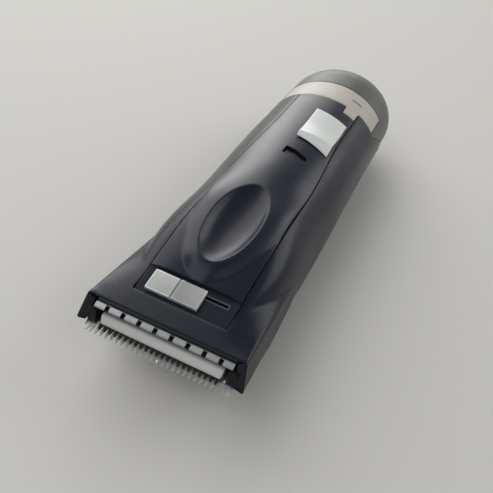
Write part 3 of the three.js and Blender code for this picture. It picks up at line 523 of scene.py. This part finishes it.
def cover_place(column, row):
    y = cover_ys[row]
    x = cover_half(y) * (2 * column / COVER_COLUMNS - 1)
    if column == notch_column and y > 112:
        x = mix(x, NOTCH_X, ease((y - 112) / 9))
    if row < pocket_rear_row:
        return spot(x, y, pocket_floor(y))
    return spot(x, y, cover_height(x, y))


cover_mesh = laid_grid(COVER_COLUMNS, len(cover_ys) - 1, cover_place,
                       lambda column, row: column >= notch_column and row >= notch_row)
cover_plastic = moulded("navy_abs_cover", (0.0085, 0.0105, 0.0235), 0.3, grain=0.08, coat=0.05,
                        specular=0.33)
cover = piece_from(cover_mesh, "cover_moulding", cover_plastic)
thicken(cover, 1.7)
soften(cover, 0.3)


def drawn_bar(outline, reach):
    """A closed outline drawn out along reach into a solid."""
    mesh = bmesh.new()
    end = mesh.faces.new([mesh.verts.new(corner) for corner in outline])
    drawn = bmesh.ops.extrude_face_region(mesh, geom=[end])["geom"]
    far = [item for item in drawn if isinstance(item, bmesh.types.BMVert)]
    bmesh.ops.translate(mesh, vec=reach, verts=far)
    bmesh.ops.recalc_face_normals(mesh, faces=mesh.faces[:])
    return mesh


window_rim = [(-1.6, 80.1), (2.75, 79.85), (6.1, 80.4), (7.3, 81.3), (6.6, 82.7), (2.75, 84.2),
              (-1.6, 84.8)]
window_mesh = drawn_bar([spot(x, y, 8) for x, y in window_rim], (0, 0, 20 * MM))
cover_holes = [
    piece_from(window_mesh, "window_cutter", cover_plastic),
    block("stem_cutter", cover_plastic, SLIT_LEFT, SLIT_RIGHT, SLIT_FRONT, SLIT_REAR, 0, 20),
    block("switch_cutter", cover_plastic, STEM_LEFT - STEM_GAP, STEM_RIGHT + STEM_GAP,
          STEM_FRONT - SWITCH_TRAVEL - STEM_GAP, STEM_REAR + STEM_GAP, 8, 25),
]
for hole in cover_holes:
    pierce(cover, hole)
settle(cover, cover_holes)
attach(cover, "body")
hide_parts("top_cover")

# The slit that the slider's stem runs along has a thin raised lip, coloured paler than the cover as a
# painted highlight on its edges.
LIP_RISE, LIP_WALL = 0.16, 0.3
lip_mesh = bmesh.new()
lip_rings = []
for grow_x, grow_y in [(0.4, 0.37), (0.05, 0.05)]:
    left, right = SLIT_LEFT - grow_x, SLIT_RIGHT + grow_x
    front, rear = SLIT_FRONT - grow_y, SLIT_REAR + grow_y
    lip_rings.append([lip_mesh.verts.new(spot(x, y, pocket_floor(y) + LIP_RISE))
                      for x, y in [(left, front), (right, front), (right, rear), (left, rear)]])
for k in range(4):
    n = (k + 1) % 4
    lip_mesh.faces.new([lip_rings[0][k], lip_rings[0][n], lip_rings[1][n], lip_rings[1][k]])
bmesh.ops.recalc_face_normals(lip_mesh, faces=lip_mesh.faces[:])
slit_lip = piece_from(lip_mesh, "slit_lip",
                      moulded("painted_highlight_edge", (0.10, 0.105, 0.12), 0.3, grain=0.1, coat=0.2))
thicken(slit_lip, LIP_WALL)
soften(slit_lip, 0.05)
settle(slit_lip)
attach(slit_lip, "body")

# ---------------------------------------------------------------------------------------------
# Rear band: a cream ABS collar clipped round the tail, with a tongue that fills the notch beside
# the switch and a small moulded slot.
# ---------------------------------------------------------------------------------------------

BAND_FRONT, CAP_FRONT = COVER_REAR + PART_LINE, 140.3
BAND_FOOT, BAND_WALL = 9, 2
TONGUE_LEFT, TONGUE_RIGHT = NOTCH_X + PART_LINE, 12


def tail_ring(y):
    """Half-width, height over the axis, depth under it and widest line of the round handle."""
    return half_width(y), crest(y), belly(y), widest_line(y)


def tail_point(y, angle, closing=1.0, ring=None):
    """A point on the round handle; closing below 1 draws it in toward the axis."""
    half, top, bottom, middle = ring or tail_ring(y)
    reach = top - middle if math.sin(angle) > 0 else middle - bottom
    x = half * closing * math.cos(angle)
    z = closing * (middle + reach * math.sin(angle))
    return x, max(z, -AXIS_HEIGHT)


def angle_at(y, height):
    """Where round the handle its skin stands at this height."""
    middle = widest_line(y)
    return math.asin((height - middle) / (crest(y) - middle))


BAND_COLUMNS = 96
band_ys = [mix(NOTCH_FRONT + PART_LINE, BAND_FRONT, step / 8) for step in range(9)]
band_front_row = len(band_ys) - 1
band_ys += [mix(BAND_FRONT, CAP_FRONT - PART_LINE, step / 20) for step in range(1, 21)]
low_angle = angle_at(133, BAND_FOOT)
tongue_right = math.acos(TONGUE_RIGHT / half_width(124))
tongue_left = math.acos(TONGUE_LEFT / half_width(124))
band_angles = [mix(low_angle, tongue_right, step / 20) for step in range(20)]
band_angles += [mix(tongue_right, tongue_left, step / 12) for step in range(12)]
band_angles += [mix(tongue_left, math.pi - low_angle, step / 64) for step in range(65)]


def band_place(column, row):
    angle = band_angles[BAND_COLUMNS - column]
    y = band_ys[row]
    x, z = tail_point(y, angle)
    return spot(x, y, z)


def band_open(column, row):
    is_tongue = 64 <= column < 76
    return row < band_front_row and not is_tongue


cream = moulded("cream_abs", (0.50, 0.455, 0.405), 0.45, grain=0.15, coat=0.05, mottle=0.05)
band = piece_from(laid_grid(BAND_COLUMNS, len(band_ys) - 1, band_place, band_open),
                  "collar_band", cream)
thicken(band, BAND_WALL)
soften(band, 0.25)
band_slot = block("band_slot_cutter", cream, 7.4, 11.4, 133.1, 134.1, 5, 25)
pierce(band, band_slot)
settle(band, [band_slot])
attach(band, "body")
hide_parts("rear_band")

# ---------------------------------------------------------------------------------------------
# End cap: the round grey tail. Its ears run forward under the band, and the charging socket
# sits in a recess in its flat end. Fine-textured grey ABS.
# ---------------------------------------------------------------------------------------------

SHOULDER = 15.0
EAR_TOP, EAR_LINE = BAND_FOOT - PART_LINE, 134
RECESS_RADIUS, RECESS_DEPTH = 4.7, 5
UPPER, LOWER = 56, 88
CAP_COLUMNS = UPPER + LOWER
EAR_ROWS, SIDE_ROWS, SHOULDER_ROWS, FACE_ROWS, RECESS_ROWS = 12, 10, 26, 10, 6
ear_angle = angle_at(EAR_LINE, EAR_TOP)


def cap_front(z):
    """Where the cap starts: behind the band at the top, further forward along its ears."""
    if z > EAR_TOP + 0.01:
        return CAP_FRONT
    bend = REAR_BEND + 0.1
    if z > bend:
        return REAR_TOP + 0.2
    return mix(REAR_TOP + 0.2, REAR_FOOT + PART_LINE, clamp01((bend - z) / 6))


def cap_place(column, row):
    """Rows run along the ears, the side, the rounded shoulder, the end and into the recess."""
    if column <= UPPER:
        angle = mix(ear_angle, math.pi - ear_angle, column / UPPER)
    else:
        angle = mix(math.pi - ear_angle, 2 * math.pi + ear_angle, (column - UPPER) / LOWER)
    if row <= EAR_ROWS:
        on_ear = UPPER <= column or column == 0
        start = cap_front(tail_point(EAR_LINE, angle)[1] - (0.02 if on_ear else 0))
        y = mix(start, CAP_FRONT, row / EAR_ROWS)
        x, z = tail_point(y, angle)
        return spot(x, y, z)
    row -= EAR_ROWS
    if row <= SIDE_ROWS:
        y = mix(CAP_FRONT, BODY_LENGTH - SHOULDER, row / SIDE_ROWS)
        x, z = tail_point(y, angle)
        return spot(x, y, z)
    row -= SIDE_ROWS
    turn = min(1.0, row / SHOULDER_ROWS) * math.pi / 2
    closing = mix(0.5, 1, math.cos(turn) ** 0.75) if turn < math.pi / 2 - 1e-6 else 0.5
    y = BODY_LENGTH - SHOULDER + SHOULDER * math.sin(turn)
    x, z = tail_point(y, angle, closing, tail_ring(BODY_LENGTH - SHOULDER))
    if row <= SHOULDER_ROWS:
        return spot(x, y, z)
    row -= SHOULDER_ROWS
    share = min(1.0, row / FACE_ROWS)
    mouth = math.atan2(z, x)
    x, z = mix(x, RECESS_RADIUS * math.cos(mouth), share), mix(z, RECESS_RADIUS * math.sin(mouth), share)
    row = max(0, row - FACE_ROWS)
    return spot(x, BODY_LENGTH - RECESS_DEPTH * row / RECESS_ROWS, z)


cap_rows = EAR_ROWS + SIDE_ROWS + SHOULDER_ROWS + FACE_ROWS + RECESS_ROWS
cap_mesh = laid_grid(CAP_COLUMNS, cap_rows, cap_place,
                     lambda column, row: column < UPPER and row < EAR_ROWS)
bmesh.ops.reverse_faces(cap_mesh, faces=cap_mesh.faces[:])
warm_grey = moulded("warm_grey_abs", (0.082, 0.079, 0.073), 0.48, grain=0.45, grain_size=0.5,
                    coat=0.15)
cap = piece_from(cap_mesh, "tail_cap", warm_grey)
thicken(cap, 1.6)
soften(cap, 0.25)
settle(cap)
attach(cap, "body")
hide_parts("end_cap")

# ---------------------------------------------------------------------------------------------
# Power switch: an off-white saddle that slides on the cover. Its front is a steep facet up to a
# ridge for the thumb, with a shallow hollow behind. Glossy white ABS, on a stem through the cover.
# ---------------------------------------------------------------------------------------------

SWITCH_LEFT, SWITCH_RIGHT, SWITCH_FRONT, SWITCH_LENGTH = -1.0, 11.7, 91.3, 22.0
switch_profile = [(0, 0.5), (0.5, 0.8), (3.5, 1.6), (4.0, 1.68), (4.8, 1.5), (12, 1.0), (20.5, 1.45),
                  (21.4, 1.45), (22, 0.9)]
switch_slants = [(0, -0.2), (3.4, 0.08), (4.4, 0.12), (13, 0), (20, -0.1), (22, -0.1)]
SWITCH_COLUMNS, SWITCH_ROWS = 28, 64


def switch_place(column, row):
    x = mix(SWITCH_LEFT, SWITCH_RIGHT, column / SWITCH_COLUMNS)
    along = SWITCH_LENGTH * row / SWITCH_ROWS
    lift = line_through(switch_profile, along)
    slant = line_through(switch_slants, along)
    y = SWITCH_FRONT + along + slant * (x - (SWITCH_LEFT + SWITCH_RIGHT) / 2)
    middle = widest_line(y)
    wide = half_width(y) + lift
    z = middle + (crest(y) + lift - middle) * math.sqrt(1 - (x / wide) ** 2)
    return spot(x, y, z)


white = moulded("white_abs", (0.73, 0.745, 0.715), 0.36, grain=0.12, coat=0.4, mottle=0.03)
switch = piece_from(laid_grid(SWITCH_COLUMNS, SWITCH_ROWS, switch_place), "switch_saddle", white)
thicken(switch, 0.55)
soften(switch, 0.3, 3)
settle(switch)
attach(switch, "switch")
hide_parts("power_switch")
switch_stem = block("switch_stem", white, STEM_LEFT, STEM_RIGHT, STEM_FRONT, STEM_REAR, 10.1, 17.1)
soften(switch_stem, 0.3)
settle(switch_stem)
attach(switch_stem, "switch")

# ---------------------------------------------------------------------------------------------
# Thinning slider: the silver-coated thumb piece in the pocket. Two flat pads lie either side of a
# raised grip rib and its groove; their rounded edges carry a paler painted highlight, and a thin stem
# passes down through the slit to the guard.
# ---------------------------------------------------------------------------------------------

SLIDER_LEFT, SLIDER_WIDTH, SLIDER_FRONT, SLIDER_LENGTH = -11.6, 16.1, 8.4, 6.9
PAD_TOP, PAD_ROUNDING, RIB_RISE, GROOVE_DEPTH = 1.15, 0.36, 0.16, 0.5
pad_half = SLIDER_WIDTH / 2
slider_section = [
    (-pad_half, 0), (pad_half, 0), (pad_half, PAD_TOP), (1.2, PAD_TOP), (1.05, PAD_TOP + RIB_RISE),
    (0.05, PAD_TOP + RIB_RISE), (-0.05, PAD_TOP - GROOVE_DEPTH), (-0.45, PAD_TOP - GROOVE_DEPTH),
    (-0.5, PAD_TOP), (-pad_half, PAD_TOP),
]
slider_mesh = drawn_bar([(x * MM, 0, z * MM) for x, z in slider_section], (0, SLIDER_LENGTH * MM, 0))
pad_edges = []
for edge in slider_mesh.edges:
    one, two = edge.verts[0].co, edge.verts[1].co
    at_end = min(abs(one.x), abs(two.x)) > (pad_half - 0.1) * MM
    on_top = min(one.z, two.z) > (PAD_TOP - 0.01) * MM
    upright = abs(one.z - two.z) > MM
    crosswise = abs(one.y - two.y) < 0.1 * MM
    if (at_end and (on_top or upright)) or (on_top and crosswise):
        pad_edges.append(edge)
rounded = bmesh.ops.bevel(slider_mesh, geom=pad_edges, offset=PAD_ROUNDING * MM, segments=3,
                          profile=0.5, affect="EDGES", material=-1, clamp_overlap=True)["faces"]
# The rounded edges take the second, paler material: a painted highlight.
for face in rounded:
    face.material_index = 1
tilt = Matrix.Rotation(math.atan(floor_slope), 4, "X")
bmesh.ops.transform(slider_mesh, matrix=tilt, verts=slider_mesh.verts[:])
bmesh.ops.translate(slider_mesh, verts=slider_mesh.verts[:],
                    vec=spot(SLIDER_LEFT + pad_half, SLIDER_FRONT, pocket_floor(SLIDER_FRONT) + 0.3))


def sheen_silver(name, colour, roughness, metallic, streak, along):
    """Metal or metal-coated face with fine drawn lines along one axis."""
    material = bpy.data.materials.new(name)
    material.use_nodes = True
    tree = material.node_tree
    shader = tree.nodes["Principled BSDF"]
    shader.inputs["Metallic"].default_value = metallic
    where = tree.nodes.new("ShaderNodeTexCoord")
    turn = tree.nodes.new("ShaderNodeMapping")
    turn.inputs["Scale"].default_value = [60 if axis == along else 3500 for axis in "XYZ"]
    lines = noise(tree, 1.0, 4)
    cloud = noise(tree, 180, 4)
    tone = two_tones(tree, colour, 0.86, 1.08)
    gloss = ramp(tree, 0.25, 0.75, roughness - 0.07, roughness + 0.09)
    bump = relief(tree, streak, 0.01)
    link = tree.links.new
    link(where.outputs["Object"], turn.inputs["Vector"])
    link(turn.outputs["Vector"], lines.inputs["Vector"])
    link(where.outputs["Object"], cloud.inputs["Vector"])
    link(cloud.outputs["Fac"], tone.inputs["Factor"])
    link(lines.outputs["Fac"], gloss.inputs["Value"])
    link(lines.outputs["Fac"], bump.inputs["Height"])
    link(tone.outputs["Result"], shader.inputs["Base Color"])
    link(gloss.outputs["Result"], shader.inputs["Roughness"])
    link(bump.outputs["Normal"], shader.inputs["Normal"])
    return material


silver = sheen_silver("silver_coating", (0.46, 0.472, 0.452), 0.5, 0.2, 0.15, "X")
slider = piece_from(slider_mesh, "thumb_slider", silver)
# The second material is the painted highlight on the slider's rounded edges.
slider.data.materials.append(
    sheen_silver("painted_highlight_rim", (0.86, 0.87, 0.86), 0.3, 0.35, 0.1, "X"))
settle(slider, sharp=50)
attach(slider, "thinner")
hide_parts("thinning_slider")
THUMB_TRAVEL, END_PLAY, SIDE_PLAY = 8.7, 0.4, 0.15
slider_stem = block("slider_stem", silver, SLIT_LEFT + END_PLAY, SLIT_RIGHT - THUMB_TRAVEL - END_PLAY,
                    SLIT_FRONT + SIDE_PLAY, SLIT_REAR - SIDE_PLAY, 4.45, 7.75)
settle(slider_stem)
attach(slider_stem, "thinner")

# ---------------------------------------------------------------------------------------------
# Blade set and thinning guard: a ground steel comb, a steel cutter under its plastic bar, and
# a bent sheet-steel guard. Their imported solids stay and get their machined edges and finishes.
# ---------------------------------------------------------------------------------------------


def finish_node(name, material, edge_width=0.0, segments=1):
    """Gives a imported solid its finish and, with an edge width, its broken edges."""
    node = nodes[name]
    node.data.materials.clear()
    node.data.materials.append(material)
    weld = node.modifiers.new("weld", "WELD")
    weld.merge_threshold = 0.002 * MM
    if edge_width:
        flat = node.modifiers.new("flat", "DECIMATE")
        flat.decimate_type = "DISSOLVE"
        flat.angle_limit = math.radians(1)
        soften(node, edge_width, segments, 30)


blade_steel = sheen_silver("ground_blade_steel", (0.78, 0.77, 0.75), 0.34, 0.8, 0.4, "Y")
cutter_steel = sheen_silver("ground_cutter_steel", (0.085, 0.085, 0.09), 0.34, 1.0, 0.5, "X")
guard_steel = sheen_silver("satin_guard_steel", (0.5, 0.515, 0.52), 0.34, 1.0, 0.3, "X")
bar_white = moulded("carrier_acetal", (0.63, 0.645, 0.615), 0.38, grain=0.15, mottle=0.05)
plated = sheen_silver("zinc_plate", (0.42, 0.42, 0.43), 0.28, 1.0, 0.2, "X")
black = moulded("black_abs", (0.0055, 0.0055, 0.0065), 0.55, grain=0.2, specular=0.25)
finish_node("fixed_comb", blade_steel, 0.09)
finish_node("moving_cutter", cutter_steel, 0.05)
finish_node("thinning_guard", guard_steel, 0.12, 2)
finish_node("cutter_carrier", bar_white, 0.22, 2)
finish_node("cutter_frame", black, 0.2)
# The tension spring is coloured near black as painted shade, where it shows behind the guard's tabs.
shade_dark_spring = sheen_silver("painted_shade_spring_steel", (0.035, 0.036, 0.042), 0.4, 0.8, 0.2, "X")
finish_node("tension_spring", shade_dark_spring)
for name in ["comb_screw_left", "comb_screw_right", "slider_cam_pin"]:
    finish_node(name, plated)

# A black strip under the guard's front is painted shade: it darkens the gaps between its tabs.
# A black block in each corner of the mouth beside the moving bar is painted shade there too.
for name, body, x0, x1, y0, y1, z0, z1 in [
        ("guard_shade_strip", "guard", -20.7, 20.7, -1.5, 2.8, 2.66, 3.02),
        ("mouth_shade_block_left", "body", -22.6, -19.95, -2.4, 4.5, -2.55, 2.5),
        ("mouth_shade_block_right", "body", 19.95, 22.6, -2.4, 4.5, -2.55, 2.5)]:
    strip = block(name, black, x0, x1, y0, y1, z0, z1)
    soften(strip, 0.08)
    settle(strip)
    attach(strip, body)

# ---------------------------------------------------------------------------------------------
# Works inside the handle: motor, crank, cells and board, and the socket in the tail. They show
# only through the mouth, the lamp's window, the socket's recess and the screw holes, so they
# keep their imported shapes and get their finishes.
# ---------------------------------------------------------------------------------------------

sleeve = moulded("cell_sleeve", (0.035, 0.17, 0.08), 0.3, grain=0.1, coat=0.4)
laminate = moulded("board_laminate", (0.018, 0.11, 0.055), 0.4, grain=0.3)
resin = moulded("lamp_resin", (0.68, 0.7, 0.68), 0.25, grain=0.1)
brass = sheen_silver("gold_flash", (0.56, 0.39, 0.15), 0.25, 1.0, 0.2, "Y")
lens = moulded("smoked_lens", (0.006, 0.005, 0.012), 0.09, grain=0.02, coat=0.6)
inner_white = moulded("crank_acetal", (0.6, 0.61, 0.58), 0.35, grain=0.15)
for name, material in {
        "charging_socket": black, "socket_pin": brass, "motor": plated, "motor_shaft": plated,
        "eccentric_crank": inner_white, "battery_cell_left": sleeve, "battery_cell_right": sleeve,
        "cell_contact_strip": plated, "battery_tray": black, "circuit_board": laminate,
        "switch_block": black, "status_window": lens, "status_lamp": resin,
        "housing_screw_front_left": plated, "housing_screw_front_right": plated,
        "housing_screw_middle": plated, "housing_screw_rear": plated}.items():
    finish_node(name, material)

# ---------------------------------------------------------------------------------------------
# Table, light and camera: a plain pale matt table in a room that is lighter low down and toward
# the window at the rear left. Large soft panels give the satin plastics their broad sheen, and
# the camera looks down on the blade from the front, a little to the right.
# ---------------------------------------------------------------------------------------------

table_mesh = bmesh.new()
bmesh.ops.create_grid(table_mesh, x_segments=2, y_segments=2, size=1.3)
bmesh.ops.translate(table_mesh, verts=table_mesh.verts[:], vec=(0, 0, -0.0001))
table_top = bpy.data.materials.new("table_top")
table_top.use_nodes = True
table_shader = table_top.node_tree.nodes["Principled BSDF"]
table_shader.inputs["Base Color"].default_value = (0.645, 0.632, 0.60, 1)
table_shader.inputs["Roughness"].default_value = 0.75
table = piece_from(table_mesh, "table", table_top)

# The room's light falls off with height and away from the window, by the direction it comes from.
world = bpy.data.worlds.new("room")
bpy.context.scene.world = world
world.use_nodes = True
room = world.node_tree
background = room.nodes["Background"]
view_dir = room.nodes.new("ShaderNodeTexCoord")
split = room.nodes.new("ShaderNodeSeparateXYZ")
fall = ramp(room, 0.0, 0.6, 0.9, 0.3)
fall.interpolation_type = "SMOOTHSTEP"
side = room.nodes.new("ShaderNodeVectorMath")
side.operation = "DOT_PRODUCT"
side.inputs[1].default_value = (-0.64, 0.77, 0)
window_side = ramp(room, -0.6, 0.9, 0.5, 1.0)
window_side.interpolation_type = "SMOOTHSTEP"
both = room.nodes.new("ShaderNodeMath")
both.operation = "MULTIPLY"
room.links.new(view_dir.outputs["Generated"], split.inputs["Vector"])
room.links.new(view_dir.outputs["Generated"], side.inputs[0])
room.links.new(split.outputs["Z"], fall.inputs["Value"])
room.links.new(side.outputs["Value"], window_side.inputs["Value"])
room.links.new(fall.outputs["Result"], both.inputs[0])
room.links.new(window_side.outputs["Result"], both.inputs[1])
room.links.new(both.outputs["Value"], background.inputs["Strength"])
background.inputs["Color"].default_value = (0.98, 0.99, 1.0, 1)


def soft_box(name, place, aim, width, height, power, colour, spread=180):
    lamp = bpy.data.lights.new(name, "AREA")
    lamp.shape = "RECTANGLE"
    lamp.size, lamp.size_y = width, height
    lamp.energy = power
    lamp.color = colour
    lamp.spread = math.radians(spread)
    box = bpy.data.objects.new(name, lamp)
    bpy.context.scene.collection.objects.link(box)
    box.location = place
    box.rotation_euler = (Vector(aim) - Vector(place)).to_track_quat("-Z", "Y").to_euler()


soft_box("window_light", (-0.66, 0.42, 0.55), (0, 0, 0), 1.1, 0.9, 5.3, (1.0, 0.995, 0.97))
soft_box("front_fill", (-0.42, -0.5, 0.78), (-0.06, -0.02, 0), 0.9, 0.7, 2.6, (0.97, 0.985, 1.0))
soft_box("low_panel", (-0.5, 1.05, 0.36), (0, 0.05, 0.03), 0.9, 0.62, 0.62, (1.0, 1.0, 0.98), 70)
soft_box("right_panel", (0.55, 0.62, 0.5), (0, 0, 0), 0.6, 0.45, 0.55, (0.98, 0.99, 1.0), 100)
soft_box("right_fill", (0.6, -0.25, 0.6), (0.08, 0.03, 0), 0.8, 0.6, 0.24, (1.0, 0.99, 0.97), 90)

camera = bpy.data.objects.new("camera", bpy.data.cameras.new("camera"))
bpy.context.scene.collection.objects.link(camera)
camera.data.sensor_width = 36
camera.data.lens = 52.93
camera.location = (0.05177, -0.19969, 0.1644)
camera.rotation_euler = [math.radians(angle) for angle in (49.52, -9.50, 24.17)]
camera.data.clip_start = 0.01
bpy.context.scene.camera = camera
bpy.context.scene.view_settings.view_transform = "Standard"
